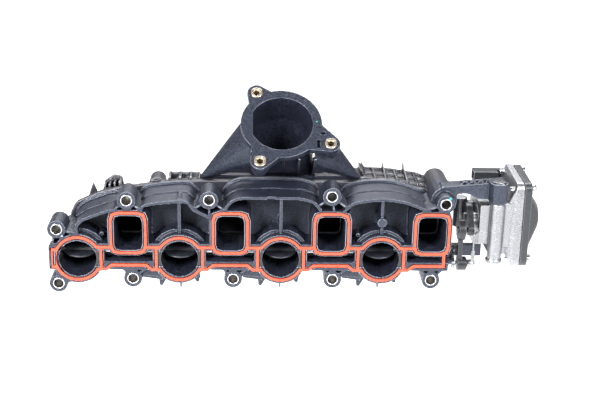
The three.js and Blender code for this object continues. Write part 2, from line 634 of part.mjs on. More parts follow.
function buildFlaps() {
  const at = [0, SHAFT.y, 0];
  add('flap_shaft', barrelX(0, 0, SHAFT.r, SHAFT_LEFT, SHAFT_RIGHT), ZINC, at);
  ROUND_X.forEach((x, i) => add(`swirl_flap_${i + 1}`, flapDisc(), NYLON_DARK,
    [x, SHAFT.y, 0]));
  const lever = link(195.8, 198.4, { y: 0, z: 0, r: 7 }, { ...BALL, r: 4.6 })
    .subtract(barrelX(0, 0, SHAFT.r + GAP, 190, 200))
    .subtract(barrelX(BALL.y, BALL.z, 2.5, 190, 200));
  add('flap_lever', lever, ZINC, at);
  add('flap_lever_nut', hexNut(198.8, 203.4, 0, 0, 10, SHAFT.r + GAP), ZINC, at);
  const stud = barrelX(0, 0, 2.2, 195.4, 213).add(barrelX(0, 0, 3.4, 209.2, 217, 6));
  add('flap_ball_stud', stud, ZINC, [0, SHAFT.y + BALL.y, BALL.z]);
  const seal = barrelX(0, 0, 5.4, RIGHT_END + 0.6, RIGHT_END + 2.8)
    .subtract(barrelX(0, 0, SHAFT.r + GAP, 190, 200));
  add('shaft_end_seal', seal, RUBBER, at);
}

// ---------- rod and actuator ----------
function linkRod() {
  const low = { y: 0, z: BALL.z };
  const up = { y: 0, z: ACT.z + BALL.z };
  return join([
    barrelX(up.y, up.z, 9.5, 199.6, 205.6, 24),
    barrelX(low.y, low.z, 6.2, 200.4, 208.6),
    box(200.6, 204.6, -3.2, 3.2, low.z + 3, up.z - 6),
  ]).subtract(barrelX(up.y, up.z, 2.6, 190, 206.5))
    .subtract(barrelX(low.y, low.z, 2.7, 190, 220));
}

// A spur gear about the X axis with one tooth centred on the given angle from +Y.
function gear(teeth, x0, x1, firstTooth) {
  const pitchR = teeth * MODULE / 2;
  const shape = new THREE.Shape();
  const profile = [[-0.27, -1.1], [-0.1, 0.75], [0.1, 0.75], [0.27, -1.1]];
  for (let n = 0; n < teeth; n += 1) {
    profile.forEach(([turn, height], i) => {
      const angle = (n + turn) / teeth * 2 * Math.PI;
      const r = pitchR + height * MODULE;
      const spot = [r * Math.cos(angle), r * Math.sin(angle)];
      if (n === 0 && i === 0) shape.moveTo(...spot);
      else shape.lineTo(...spot);
    });
  }
  shape.closePath();
  const geometry = new THREE.ExtrudeGeometry(shape, { depth: x1 - x0, bevelEnabled: false });
  geometry.rotateY(Math.PI / 2);
  geometry.rotateX(Math.PI / 2);
  geometry.translate(x0, 0, 0);
  return solid(geometry).rotate([firstTooth, 0, 0]);
}

const OUTPUT_TO_IDLER = (TEETH.output + TEETH.idlerSmall) / 2 * MODULE;
const IDLER_TO_PINION = (TEETH.idlerLarge + TEETH.pinion) / 2 * MODULE;
const IDLER = {
  y: ACT.y + OUTPUT_TO_IDLER * Math.cos(IDLER_ANGLE),
  z: ACT.z + OUTPUT_TO_IDLER * Math.sin(IDLER_ANGLE),
};
const MOTOR = { y: IDLER.y + IDLER_TO_PINION, z: IDLER.z };

const LOBES = [[14, 62], [59, 64], [12, -3], [57, 1]];

function facePlate(x0, x1, grow) {
  return wasm.Manifold.hull(LOBES.map(([y, z]) => barrelX(y, z, 6.4 + grow, x0, x1)));
}

function gearChamber(x0, x1) {
  return wasm.Manifold.hull([
    barrelX(ACT.y, ACT.z, 15.3, x0, x1, 20), barrelX(MOTOR.y, MOTOR.z, 11, x0, x1, 20),
    barrelX(IDLER.y, IDLER.z, 11.5, x0, x1, 20),
  ]);
}

function actuatorHousing() {
  const { left, right, front, back, low, top } = HOUSING;
  const pillar = ACTUATOR_POST;
  const body = join([
    box(left, right, front, back, low - 3, top - 2),
    box(left + 14, right, front - 2, back - 8, low + 4, top),
    box(left + 14, right, front, back, low - 4, low),
    barrelZ(pillar.x, pillar.y, 6.4, -1.5, 50.6, 20),
    barrelZ(pillar.x, pillar.y, 7.4, -4.5, -1, 20),
    wasm.Manifold.hull([facePlate(FACE_X - 1.5, COVER_X - 0.6, 0),
      box(right - 8, right - 7, front, back, low - 3, top)]),
    barrelZ(207.5, 45, 6, 16, 44, 20),
    box(207.5, left + 1, 41.5, 48.5, 18, 40),
    barrelX(ACT.y, ACT.z, 11, left - 1, left + 2, 24),
  ]);
  return body.subtract(join([
    gearChamber(COVER_X - 16.6, COVER_X + 9),
    barrelX(MOTOR.y, MOTOR.z, 10.5, 224, 250, 24),
    barrelX(ACT.y, ACT.z, 4.4, 210, 250),
    barrelX(ACT.y, ACT.z, 8.3, 222, 250),
    barrelZ(pillar.x, pillar.y, 3.3, 26, 60),
    box(left - 1, left + 9, front - 1, 32, low - 4, low + 6),
    barrelX(IDLER.y, IDLER.z, 2.3, COVER_X - 22.6, COVER_X, 12),
    ...LOBES.map(([y, z]) => barrelX(y, z, 2.5, COVER_X - 14, COVER_X + 9, 12)),
  ]));
}

function actuatorCover() {
  const base = COVER_X;
  const flange = facePlate(base, base + 6.5, -0.4);
  const dome = wasm.Manifold.hull([
    ...LOBES.map(([y, z]) => barrelX(34 + 0.64 * (y - 34), 30 + 0.64 * (z - 30), 7, base + 6,
      base + 7)),
    barrelX(32, 31, 12, base + 15, base + 17, 24),
  ]);
  const socket = box(PLUG.left, PLUG.right, PLUG.front, PLUG.back, PLUG.low, PLUG.top)
    .subtract(box(PLUG.left - 2, PLUG.right - 6, PLUG.front + 1.6, PLUG.back - 1.6,
      PLUG.low + 1.6, PLUG.top - 1.6));
  const bridge = box(PLUG.right - 1, base + 5, PLUG.back - 5, PLUG.back, PLUG.low, PLUG.top)
    .add(box(base + 0.4, base + 5, PLUG.front - 1, PLUG.back, 50, PLUG.top));
  const inside = wasm.Manifold.hull([
    gearChamber(base - 1, base + 4), barrelX(30, 30, 9, base + 12, base + 13, 20),
  ]);
  return join([flange, dome, socket, bridge]).subtract(join([
    inside, ...LOBES.map(([y, z]) => barrelX(y, z, 2.5, 250, 275, 12)),
  ]));
}

function buildLinkage() {
  const rodAt = [0, SHAFT.y + BALL.y, 0];
  add('link_rod', linkRod(), NYLON_DARK, rodAt);
  const lever = link(208.2, 213.6, { y: 0, z: 0, r: 13.4 }, { ...BALL, r: 5.4 })
    .subtract(barrelX(0, 0, 4.3, 200, 220))
    .subtract(barrelX(BALL.y, BALL.z, 2.5, 200, 220));
  add('actuator_lever', lever, NYLON_DARK, [0, ACT.y, ACT.z]);
  const stud = barrelX(0, 0, 2.2, 199, 214.4).add(barrelX(0, 0, 3.6, 198.5, 199.3));
  add('lever_ball_stud', stud, ZINC, [0, ACT.y + BALL.y, ACT.z + BALL.z]);
  const wirePath = new THREE.CatmullRomCurve3([
    [218.6, 8, 26], [215.6, 2, 26], [213, -0.5, 24.6], [212.8, -0.6, 20], [212.8, -0.6, 9],
  ].map((p) => new THREE.Vector3(...p)));
  const section = new THREE.Shape().absarc(0, 0, 0.9, 0, 2 * Math.PI);
  const wire = solid(new THREE.ExtrudeGeometry(section, {
    steps: 16, curveSegments: 4, extrudePath: wirePath,
  }));
  const tip = box(211.4, 214.2, -1.6, 0.4, -0.5, 9.5);
  add('travel_stop_wire', wire.add(tip), ZINC);
}

function buildActuator() {
  const axis = [0, ACT.y, ACT.z];
  add('actuator_housing', actuatorHousing(), ALUMINIUM);
  add('actuator_cover', actuatorCover(), COVER_PLASTIC);
  const gasket = facePlate(COVER_X - 0.45, COVER_X - 0.15, -1)
    .subtract(facePlate(COVER_X - 2, COVER_X + 2, -4.4))
    .subtract(join(LOBES.map(([y, z]) => barrelX(y, z, 2.6, 250, 270, 12))));
  add('cover_gasket', gasket, RUBBER);
  LOBES.forEach(([y, z], i) => {
    const screw = barrelX(0, 0, 2.1, COVER_X - 12.6, COVER_X + 7, 12)
      .add(barrelX(0, 0, 4.2, COVER_X + 6.8, COVER_X + 10.4, 12))
      .subtract(barrelX(0, 0, 1.8, COVER_X + 8.6, COVER_X + 11, 6));
    add(`cover_screw_${i + 1}`, screw, ZINC, [0, y, z]);
  });
  add('output_shaft', barrelX(0, 0, 4, 207, COVER_X - 1.6), ZINC, axis);
  const bearing = barrelX(0, 0, 8, 222.4, 229).subtract(barrelX(0, 0, 4.3, 220, 230));
  add('output_bearing', bearing, ZINC, axis);
  const outputGear = gear(TEETH.output, COVER_X - 9.2, COVER_X - 4, IDLER_BEARS)
    .subtract(barrelX(0, 0, 4.3, 240, 260));
  add('output_gear', outputGear, GEAR_PLASTIC, axis);
  const idlerBore = barrelX(0, 0, 2.3, 230, 265, 12);
  const idlerTurn = IDLER_BEARS + 180 + 180 / TEETH.idlerSmall;
  const idler = gear(TEETH.idlerSmall, COVER_X - 9.7, COVER_X - 3.6, idlerTurn)
    .add(gear(TEETH.idlerLarge, COVER_X - 14.6, COVER_X - 9.6, 0)).subtract(idlerBore);
  add('idler_gear', idler, GEAR_PLASTIC, [0, IDLER.y, IDLER.z]);
  add('idler_pin', barrelX(0, 0, 2, COVER_X - 21.6, COVER_X + 1.4, 12), ZINC, [0, IDLER.y, IDLER.z]);
  const motorAt = [0, MOTOR.y, MOTOR.z];
  add('motor_can', barrelX(0, 0, 10, 224.5, 239.5, 24), ZINC, motorAt);
  const pinion = gear(TEETH.pinion, COVER_X - 15.2, COVER_X - 10, 180 + 180 / TEETH.pinion)
    .add(barrelX(0, 0, 1.1, 239.8, 242, 10));
  add('motor_pinion', pinion, BRASS, motorAt);
  add('circuit_board', box(COVER_X + 1, COVER_X + 2.5, 17, 36, 24, 40), BOARD);
  const pins = [61.9, 64.3, 66.7, 69.1].map((y) => box(223, 236, y - 0.6, y + 0.6, 57.4, 58.6));
  const comb = box(235, 236.7, 61, 70, 56.4, 59.6);
  add('connector_terminals', join([comb, ...pins]), ZINC);
  const screwPin = barrelZ(0, 0, 3, 27, 66.5).add(barrelZ(0, 0, 5.4, 66.2, 70.6, 6));
  add('actuator_screw', screwPin, ZINC, [ACTUATOR_POST.x, ACTUATOR_POST.y, 0]);
}

buildFront();
buildRear();
buildFlaps();
buildLinkage();
buildActuator();

export default root;
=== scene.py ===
# The looks of the intake manifold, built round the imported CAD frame.
# Sizes are millimetres from the common axis of the round ports, as in the CAD source: X along
# the ports, Y into the object from the sealing face, Z up. LIFT turns them into metres in the
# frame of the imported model.
import json
import math

import bmesh
import bpy
from mathutils import Matrix, Vector


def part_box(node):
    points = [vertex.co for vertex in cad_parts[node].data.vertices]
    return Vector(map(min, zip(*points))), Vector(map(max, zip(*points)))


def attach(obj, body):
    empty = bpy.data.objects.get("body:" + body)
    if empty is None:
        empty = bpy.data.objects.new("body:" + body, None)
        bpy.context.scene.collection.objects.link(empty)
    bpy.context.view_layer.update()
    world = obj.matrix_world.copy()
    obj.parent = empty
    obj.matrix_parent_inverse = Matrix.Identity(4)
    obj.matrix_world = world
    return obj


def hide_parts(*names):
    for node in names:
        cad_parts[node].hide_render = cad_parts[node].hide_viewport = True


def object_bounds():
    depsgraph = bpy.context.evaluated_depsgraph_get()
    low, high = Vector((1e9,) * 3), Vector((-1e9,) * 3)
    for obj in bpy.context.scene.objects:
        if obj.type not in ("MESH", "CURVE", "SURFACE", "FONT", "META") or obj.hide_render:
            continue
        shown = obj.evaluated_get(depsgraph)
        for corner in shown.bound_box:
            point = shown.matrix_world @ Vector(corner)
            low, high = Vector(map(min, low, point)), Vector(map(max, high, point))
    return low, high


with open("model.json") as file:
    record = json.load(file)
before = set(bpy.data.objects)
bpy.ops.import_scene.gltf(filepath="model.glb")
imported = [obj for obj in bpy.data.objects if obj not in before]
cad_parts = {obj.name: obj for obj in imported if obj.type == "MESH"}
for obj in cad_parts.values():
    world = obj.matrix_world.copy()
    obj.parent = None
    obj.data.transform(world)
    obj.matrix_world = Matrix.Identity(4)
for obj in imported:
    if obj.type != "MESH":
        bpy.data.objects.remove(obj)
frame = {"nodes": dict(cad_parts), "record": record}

cad_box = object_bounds()

# ---------- places taken from the frame ----------
MM = 0.001
OPENINGS = {o["name"]: o["box_m"] for o in frame["record"]["physics"]["openings"]}


def middle(corners):
    low, high = corners
    return Vector([(a + b) / 2 for a, b in zip(low, high)])


PORT_AXIS_Z = middle(OPENINGS["round_port_1_mouth"]).z
LIFT = Matrix.Translation((0, 0, PORT_AXIS_Z)) @ Matrix.Scale(MM, 4)
TO_MM = LIFT.inverted()
ROUND_X = [middle(OPENINGS[f"round_port_{n}_mouth"]).x / MM for n in (1, 2, 3, 4)]
RECT_X = [middle(OPENINGS[f"rect_port_{n}_duct"]).x / MM for n in (1, 2, 3, 4)]
SLEEVE_AT = [TO_MM @ middle(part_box(f"compression_sleeve_{n}")) for n in range(1, 11)]
# The gasket of the actuator cover lies 0.15 mm under the cover's seat.
COVER_X = (TO_MM @ Vector(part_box("cover_gasket")[1])).x + 0.15
COVER_SCREWS = [TO_MM @ middle(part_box(f"cover_screw_{n}")) for n in range(1, 5)]

# ---------- sizes ----------
# Front moulding: depths run back from the sealing face.
SHELL_DEPTH = 42
WALL = 2.6
ROUND_BORE_R = 16.1
ROUND_LAND_R = 22.8
LAND_LOW = -13
LAND_TOP = 13.5
DUCT_R = 19.6
DUCT_WALL = 2
COLLAR_R = 25
COLLAR_TOP = 10.2
COLLAR_DEPTHS = (7, 24)
BAND_DEPTH = 14
# A pocket roof is full in front and set in behind; its feet stop this high over the port axis.
ROOF_FRONT_END = 22
ROOF_BACK_START = 20
ROOF_FOOT = 17
STEP_IN = 1.4
TRAY_HALF = 20.9
TRAY_LOW = -3
TRAY_TOP = 0.9
TRAY_DEPTHS = (12.8, 15)
PIN_AT = [(-112, 0, 19), (112, 0, 19)]
PIN_R = 2.2
# Gasket: the mid radius of its rings and half the width of its bead.
SEAL_R = 19.6
SEAL_HALF = 1.5
SEAL_DEPTH = 2.3
SEAL_PROUD = 0.8
SEAL_LOW = -10
SEAL_TOP = 10.8
# Clearance between two pieces.
GAP = 0.3
# Bolt bosses and their steel sleeves. The marked bolt has a dab of paint beside it.
BOSS_R = 8
BOSS_LENGTH = 25
SLEEVE_R = 5.3
SLEEVE_BORE_R = 4.05
SLEEVE_LENGTH = 25
MARKED_BOLT = 5
# Flaps and their shaft.
SHAFT_Y = 24
SHAFT_R = 3
FLAP_R = 15.4
FLAP_HALF = 0.9
FLAP_HUB_R = 4.6
FLAP_HUB_HALF = 13
FLAP_TILT = math.radians(8)
# Inlet flange: its middle, how far it leans from upright, and its inserts in its own plane.
INLET_AT = (44, 40, 112.3)
INLET_TILT = math.radians(51)
INLET_BORE_R = 27.5
INLET_RIM_R = 35.8
INLET_THICK = 6
INLET_DEPTH = 29
INSERTS = [(-21.8, 33.2), (-18.8, -39.6), (42.7, -20.7)]
INSERT_R = 5.6
INSERT_DEPTH = 9
# The webs under the inlet flange: where they stand, and their outline in y and z.
WEB_X = [29.8, 46, 59.5, 73.5]
UNDER_FLANGE = [(16, 87), (50, 60), (62, 60), (40, 82)]
WEB_HALF = 1
# Linkage: both levers have the same length and point forward and down.
LEVER_R = 17
LEVER_DROP = math.radians(20)
STUD_Y = -LEVER_R * math.cos(LEVER_DROP)
STUD_Z = -LEVER_R * math.sin(LEVER_DROP)
ACT_Y = 24
ACT_Z = 32
ACT_SHAFT_R = 4
LEVER_PLATE_X = (195.8, 198.4)
ROD_EYE_X = (200.4, 208.6)
ARM_HUB_X = (213, 214.6)
SNOUT_X = (218, 221)
# The screw that holds the actuator to the arm: x and y of its upright axis.
POST = (233.5, 9)

# The roof edge of the pocket over each round port, left foot to right foot: x, z, corner radius.
ARCHES = [
    [(-134.5, 14, 0), (-133.5, 31, 5), (-127, 37, 4), (-107, 44.6, 6), (-97, 46, 0)],
    [(-79, 42, 0), (-76, 49.8, 4), (-66, 52.2, 5), (-44, 54.4, 5), (-36, 53.6, 4), (-30, 46, 4),
     (-17, 39.5, 0)],
    [(-7, 44, 0), (-1, 54, 6), (8, 57.6, 6), (36, 58.3, 10), (63, 57.5, 8), (73, 54, 5),
     (79, 47, 0)],
    [(97, 45, 0), (104, 53, 6), (118, 56, 6), (136, 57.2, 8), (153, 54.4, 5), (174, 46, 0)],
]

# ---------- shape helpers ----------
ALONG_X = Matrix.Rotation(math.radians(90), 4, "Y")
ALONG_Y = Matrix.Rotation(math.radians(-90), 4, "X")
ALONG_Z = Matrix.Identity(4)
ON_INLET = Matrix.Translation(INLET_AT) @ Matrix.Rotation(math.pi / 2 - INLET_TILT, 4, "X")
# Carries an outline in x and z along +Y.
UPRIGHT = LIFT @ Matrix(((1, 0, 0, 0), (0, 0, 1, 0), (0, 1, 0, 0), (0, 0, 0, 1)))
# Carries an outline in y and z along +X.
SIDEWAYS = LIFT @ Matrix(((0, 0, 1, 0), (1, 0, 0, 0), (0, 1, 0, 0), (0, 0, 0, 1)))


def new_object(name, bm):
    bmesh.ops.remove_doubles(bm, verts=bm.verts, dist=1e-7)
    bmesh.ops.recalc_face_normals(bm, faces=bm.faces)
    mesh = bpy.data.meshes.new(name)
    bm.to_mesh(mesh)
    bm.free()
    obj = bpy.data.objects.new(name, mesh)
    bpy.context.scene.collection.objects.link(obj)
    return obj


def revolve_into(bm, profile, turn, at=(0, 0, 0), segments=64):
    """A profile of radius and height turned about its own axis. Off the axis it closes on itself."""
    to_frame = LIFT @ Matrix.Translation(at) @ turn
    ring = profile[0][0] > 0
    columns = []
    for k in range(segments):
        angle = 2 * math.pi * k / segments
        spots = [Vector((r * math.cos(angle), r * math.sin(angle), h)) for r, h in profile]
        columns.append([bm.verts.new(to_frame @ spot) for spot in spots])
    count = len(profile)
    for k, here in enumerate(columns):
        there = columns[(k + 1) % segments]
        for i in range(count if ring else count - 1):
            j = (i + 1) % count
            bm.faces.new((here[i], there[i], there[j], here[j]))


def revolve(name, profile, turn, places=((0, 0, 0),), segments=64):
    bm = bmesh.new()
    for at in places:
        revolve_into(bm, profile, turn, at, segments)
    return new_object(name, bm)


def rod_profile(radius, low, high, chamfer=0.0):
    """The profile of a solid bar with chamfered ends."""
    if chamfer == 0:
        return [(0, low), (radius, low), (radius, high), (0, high)]
    return [(0, low), (radius - chamfer, low), (radius, low + chamfer),
            (radius, high - chamfer), (radius - chamfer, high), (0, high)]


def tube_profile(outer, inner, low, high, chamfer=0.0):
    """The profile of a tube with chamfered ends."""
    if chamfer == 0:
        return [(inner, low), (outer, low), (outer, high), (inner, high)]
    return [(inner + chamfer, low), (outer - chamfer, low), (outer, low + chamfer),
            (outer, high - chamfer), (outer - chamfer, high), (inner + chamfer, high),
            (inner, high - chamfer), (inner, low + chamfer)]


def prism_into(bm, outline, front, back, to_frame):
    """A closed outline of two coordinates, carried from front to back."""
    rings = []
    for depth in (front, back):
        rings.append([bm.verts.new(to_frame @ Vector((a, b, depth))) for a, b in outline])
    near, far = rings
    bm.faces.new(near)
    bm.faces.new(list(reversed(far)))
    for i, spot in enumerate(near):
        j = (i + 1) % len(near)
        bm.faces.new((spot, near[j], far[j], far[i]))


def prisms(name, outlines, front, back, to_frame=UPRIGHT):
    bm = bmesh.new()
    for outline in outlines:
        prism_into(bm, outline, front, back, to_frame)
    return new_object(name, bm)


def rectangle(x0, x1, z0, z1):
    return [(x0, z0), (x1, z0), (x1, z1), (x0, z1)]


def rounded(points, steps=8):
    """A closed outline with its corners rounded. Each point is x, z and a corner radius."""
    out = []
    for i, (x, z, radius) in enumerate(points):
        here = Vector((x, z))
        before = Vector(points[i - 1][:2]) - here
        after = Vector(points[(i + 1) % len(points)][:2]) - here
        cut = min(radius, 0.48 * before.length, 0.48 * after.length)
        if cut == 0:
            out.append((x, z))
            continue
        start = here + before.normalized() * cut
        end = here + after.normalized() * cut
        for k in range(steps + 1):
            t = k / steps
            spot = start * (1 - t) ** 2 + here * 2 * t * (1 - t) + end * t ** 2
            out.append((spot.x, spot.y))
    return out


def shifted(points, distance):
    """Moves an open path of x, z, radius points sideways, to its right."""
    normals = []
    for a, b in zip(points, points[1:]):
        along = (Vector(b[:2]) - Vector(a[:2])).normalized()
        normals.append(Vector((along.y, -along.x)))
    out = []
    for i, (x, z, radius) in enumerate(points):
        a = normals[max(i - 1, 0)]
        b = normals[min(i, len(normals) - 1)]
        mid = (a + b).normalized()
        reach = distance / mid.dot(a)
        kept = max(radius - distance, 1.5 if radius else 0)
        out.append((x + mid.x * reach, z + mid.y * reach, kept))
    return out


def cad_copy(node, name):
    """A new object with the mesh of a CAD node, free to be worked on."""
    bm = bmesh.new()
    bm.from_mesh(frame["nodes"][node].data)
    bmesh.ops.remove_doubles(bm, verts=bm.verts, dist=1e-6)
    mesh = bpy.data.meshes.new(name)
    bm.to_mesh(mesh)
    bm.free()
    mesh.materials.clear()
    obj = bpy.data.objects.new(name, mesh)
    bpy.context.scene.collection.objects.link(obj)
    return obj


def bake_modifiers(obj):
    """Applies every modifier to the mesh."""
    graph = bpy.context.evaluated_depsgraph_get()
    mesh = bpy.data.meshes.new_from_object(obj.evaluated_get(graph))
    obj.modifiers.clear()
    obj.data = mesh


def carve(obj, steps):
    """Joins and cuts with the given (operation, tool) pairs, then throws the tools away."""
    for operation, tool in steps:
        step = obj.modifiers.new(operation, "BOOLEAN")
        step.operation = operation
        step.solver = "MANIFOLD"
        step.object = tool
    bake_modifiers(obj)
    for _, tool in steps:
        bpy.data.objects.remove(tool)
    return obj


def mould(obj, voxel, passes=4, slimmer=0.0):
    """Rounds every edge and corner a little, as a moulded or cast piece has them."""
    remesh = obj.modifiers.new("even", "REMESH")
    remesh.mode = "VOXEL"
    remesh.voxel_size = voxel * MM
    if slimmer:
        thin = obj.modifiers.new("thin", "DISPLACE")
        thin.strength = -slimmer * MM
        thin.mid_level = 0
    soften = obj.modifiers.new("soften", "SMOOTH")
    soften.factor = 0.5
    soften.iterations = passes
    bake_modifiers(obj)
    obj.data.shade_smooth()
    return obj


def bevelled(obj, width, segments=2):
    """Chamfers or rounds the sharp edges and smooths the rest."""
    bevel = obj.modifiers.new("bevel", "BEVEL")
    bevel.width = width * MM
    bevel.segments = segments
    bevel.limit_method = "ANGLE"
    bevel.angle_limit = math.radians(40)
    bake_modifiers(obj)
    obj.data.shade_smooth()
    bpy.context.view_layer.objects.active = obj
    obj.data.set_sharp_from_angle(angle=math.radians(50))
    return obj


def finish_piece(obj, look, body, slot, *nodes):
    """Gives a piece its material and body, and hides the CAD nodes that it stands for."""
    obj.data.materials.clear()
    obj.data.materials.append(look)
    if nodes:
        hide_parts(*nodes)
    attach(obj, body)
    return obj


# ---------- materials ----------
def noise(tree, coords, scale, detail):
    texture = tree.nodes.new("ShaderNodeTexNoise")
    texture.inputs["Scale"].default_value = scale
    texture.inputs["Detail"].default_value = detail
    tree.links.new(coords.outputs["Object"], texture.inputs["Vector"])
    return texture.outputs["Fac"]


def remap(tree, value, low, high, to_low, to_high):
    """Stretches low to high of a value onto to_low to to_high, and stops there."""
    node = tree.nodes.new("ShaderNodeMapRange")
    for socket, number in zip(node.inputs[1:5], (low, high, to_low, to_high)):
        socket.default_value = number
    tree.links.new(value, node.inputs[0])
    return node.outputs[0]


def multiply(tree, a, b):
    node = tree.nodes.new("ShaderNodeMath")
    node.operation = "MULTIPLY"
    tree.links.new(a, node.inputs[0])
    tree.links.new(b, node.inputs[1])
    return node.outputs[0]


def blend_colour(tree, factor, a, b):
    """Mixes two colours, each a socket or a plain colour."""
    node = tree.nodes.new("ShaderNodeMix")
    node.data_type = "RGBA"
    tree.links.new(factor, node.inputs["Factor"])
    for socket, colour in ((node.inputs[6], a), (node.inputs[7], b)):
        if isinstance(colour, tuple):
            socket.default_value = (*colour, 1)
        else:
            tree.links.new(colour, socket)
    return node.outputs[2]


def surface(name, dark, light, rough, grain, relief, edge=None, edge_amount=0.0, cavity=0.0,
            metallic=0.0, patch=60, specular=0.5, tint=(1, 1, 1), highlight_sharpness=(0.515, 0.575)):
    """A material with patchy colour, grain, painted highlights on sharp edges, painted shade
    in the corners and a fine relief.

    dark and light are the two ends of the colour, rough those of the roughness. grain and
    patch are the scales of the fine and the broad noise, relief the height of the grain in
    millimetres. edge is the colour of the painted highlight on sharp edges, which the broad
    noise breaks up, and edge_amount how much of it shows, which grows from the first to the
    second sharpness given last. cavity is how much painted shade darkens the corners.
    """
    material = bpy.data.materials.new(name)
    material.use_nodes = True
    tree = material.node_tree
    shader = tree.nodes["Principled BSDF"]
    shader.inputs["Metallic"].default_value = metallic
    shader.inputs["Specular IOR Level"].default_value = specular
    shader.inputs["Specular Tint"].default_value = (*tint, 1)
    coords = tree.nodes.new("ShaderNodeTexCoord")
    broad = noise(tree, coords, patch, 4)
    fine = noise(tree, coords, grain, 5)
    speck = remap(tree, fine, 0.35, 0.65, 0, 1)
    patches = remap(tree, broad, 0.3, 0.7, 0, 1)
    colour = blend_colour(tree, speck, dark, light)
    toned = blend_colour(tree, patches, dark, colour)
    colour = blend_colour(tree, patches, colour, toned)
    geometry = tree.nodes.new("ShaderNodeNewGeometry")
    point = geometry.outputs["Pointiness"]
    # Painted shade: hollows, where pointiness is low, are darkened towards a quarter of the dark
    # colour.
    if cavity:
        painted_corner_shade = remap(tree, point, 0.5, 0.44, 0, cavity)
        colour = blend_colour(tree, painted_corner_shade, colour, tuple(c * 0.25 for c in dark))
    # Painted highlight: sharp convex edges, found by pointiness, are lightened towards the edge
    # colour, broken up by the broad noise.
    if edge is not None:
        edge_highlight_mask = remap(tree, point, highlight_sharpness[0], highlight_sharpness[1], 0, edge_amount)
        ragged_edge_highlight = multiply(tree, edge_highlight_mask, remap(tree, broad, 0.25, 0.6, 0.55, 1))
        colour = blend_colour(tree, ragged_edge_highlight, colour, edge)
    tree.links.new(colour, shader.inputs["Base Color"])
    tree.links.new(remap(tree, fine, 0.3, 0.7, rough[0], rough[1]), shader.inputs["Roughness"])
    bump = tree.nodes.new("ShaderNodeBump")
    bump.inputs["Strength"].default_value = 0.8
    bump.inputs["Distance"].default_value = relief * MM
    tree.links.new(fine, bump.inputs["Height"])
    tree.links.new(bump.outputs["Normal"], shader.inputs["Normal"])
    return material


# In these materials edge is the colour of a painted highlight on sharp edges and cavity the strength
# of painted shade in the corners.
def glass_filled_nylon():
    return surface("glass_filled_nylon", (0.004, 0.005, 0.008), (0.036, 0.041, 0.066),
                   (0.26, 0.42), 780, 0.5, edge=(0.56, 0.59, 0.68), edge_amount=0.9,
                   cavity=0.95, patch=45, specular=0.65, tint=(0.78, 0.85, 1.0),
                   highlight_sharpness=(0.535, 0.58))


def warm_nylon():
    return surface("plenum_nylon", (0.005, 0.005, 0.007), (0.032, 0.032, 0.042), (0.28, 0.46),
                   720, 0.5, edge=(0.46, 0.46, 0.49), edge_amount=0.85, cavity=0.95, patch=40,
                   specular=0.8, tint=(0.92, 0.93, 1.0), highlight_sharpness=(0.53, 0.58))


def dark_nylon():
    return surface("dark_nylon", (0.006, 0.0065, 0.008), (0.022, 0.024, 0.03), (0.25, 0.4),
                   1200, 0.06, edge=(0.22, 0.23, 0.26), edge_amount=0.7, cavity=0.5)


def flap_nylon():
    return surface("flap_nylon", (0.01, 0.011, 0.016), (0.04, 0.043, 0.056), (0.32, 0.45),
                   1100, 0.05, edge=(0.7, 0.72, 0.76), edge_amount=1.0, cavity=0.5,
                   highlight_sharpness=(0.55, 0.6))


def cover_plastic():
    return surface("cover_plastic", (0.005, 0.0055, 0.008), (0.022, 0.024, 0.031), (0.28, 0.46),
                   1000, 0.1, edge=(0.28, 0.29, 0.33), edge_amount=0.8, cavity=0.8,
                   specular=0.7, highlight_sharpness=(0.52, 0.57))


def seal_rubber():
    return surface("seal_rubber", (0.4, 0.045, 0.018), (0.66, 0.095, 0.042), (0.34, 0.5),
                   700, 0.05, edge=(0.72, 0.2, 0.13), edge_amount=0.6, cavity=0.6, patch=90,
                   highlight_sharpness=(0.51, 0.56))


def black_rubber():
    return surface("black_rubber", (0.008, 0.008, 0.009), (0.02, 0.02, 0.022), (0.6, 0.8),
                   900, 0.03, cavity=0.4)


def sleeve_steel():
    return surface("sleeve_steel", (0.42, 0.43, 0.45), (0.62, 0.63, 0.66), (0.25, 0.4),
                   500, 0.01, edge=(0.8, 0.81, 0.83), edge_amount=0.6, metallic=1.0)


# Painted shade and reflection: brown and grey patches stand in for the shaded and the lit inner wall
# of the bore.
def painted_bore_reflection():
    return surface("painted_bore_reflection", (0.26, 0.23, 0.19), (0.5, 0.5, 0.5), (0.25, 0.45),
                   400, 0.02, metallic=1.0, patch=120)


def zinc_steel():
    return surface("zinc_steel", (0.16, 0.165, 0.175), (0.36, 0.37, 0.39), (0.2, 0.38),
                   900, 0.02, edge=(0.7, 0.71, 0.73), edge_amount=0.7, cavity=0.8, metallic=1.0)


def insert_brass():
    return surface("insert_brass", (0.5, 0.41, 0.3), (0.74, 0.66, 0.54), (0.28, 0.45),
                   900, 0.02, edge=(0.85, 0.8, 0.68), edge_amount=0.6, cavity=0.5, metallic=1.0)


def cast_aluminium():
    return surface("cast_aluminium", (0.22, 0.225, 0.24), (0.46, 0.465, 0.485), (0.34, 0.5),
                   1000, 0.12, edge=(0.62, 0.625, 0.64), edge_amount=0.8, cavity=0.9,
                   metallic=1.0, patch=70, highlight_sharpness=(0.52, 0.57))


def gear_plastic():
    return surface("gear_plastic", (0.6, 0.56, 0.44), (0.8, 0.77, 0.66), (0.35, 0.5),
                   900, 0.03)


def board_laminate():
    return surface("board_laminate", (0.012, 0.08, 0.03), (0.03, 0.16, 0.07), (0.3, 0.45),
                   1500, 0.02)


def marking_paint(name, colour):
    return surface(name, tuple(c * 0.7 for c in colour), colour, (0.3, 0.5), 1500, 0.03)


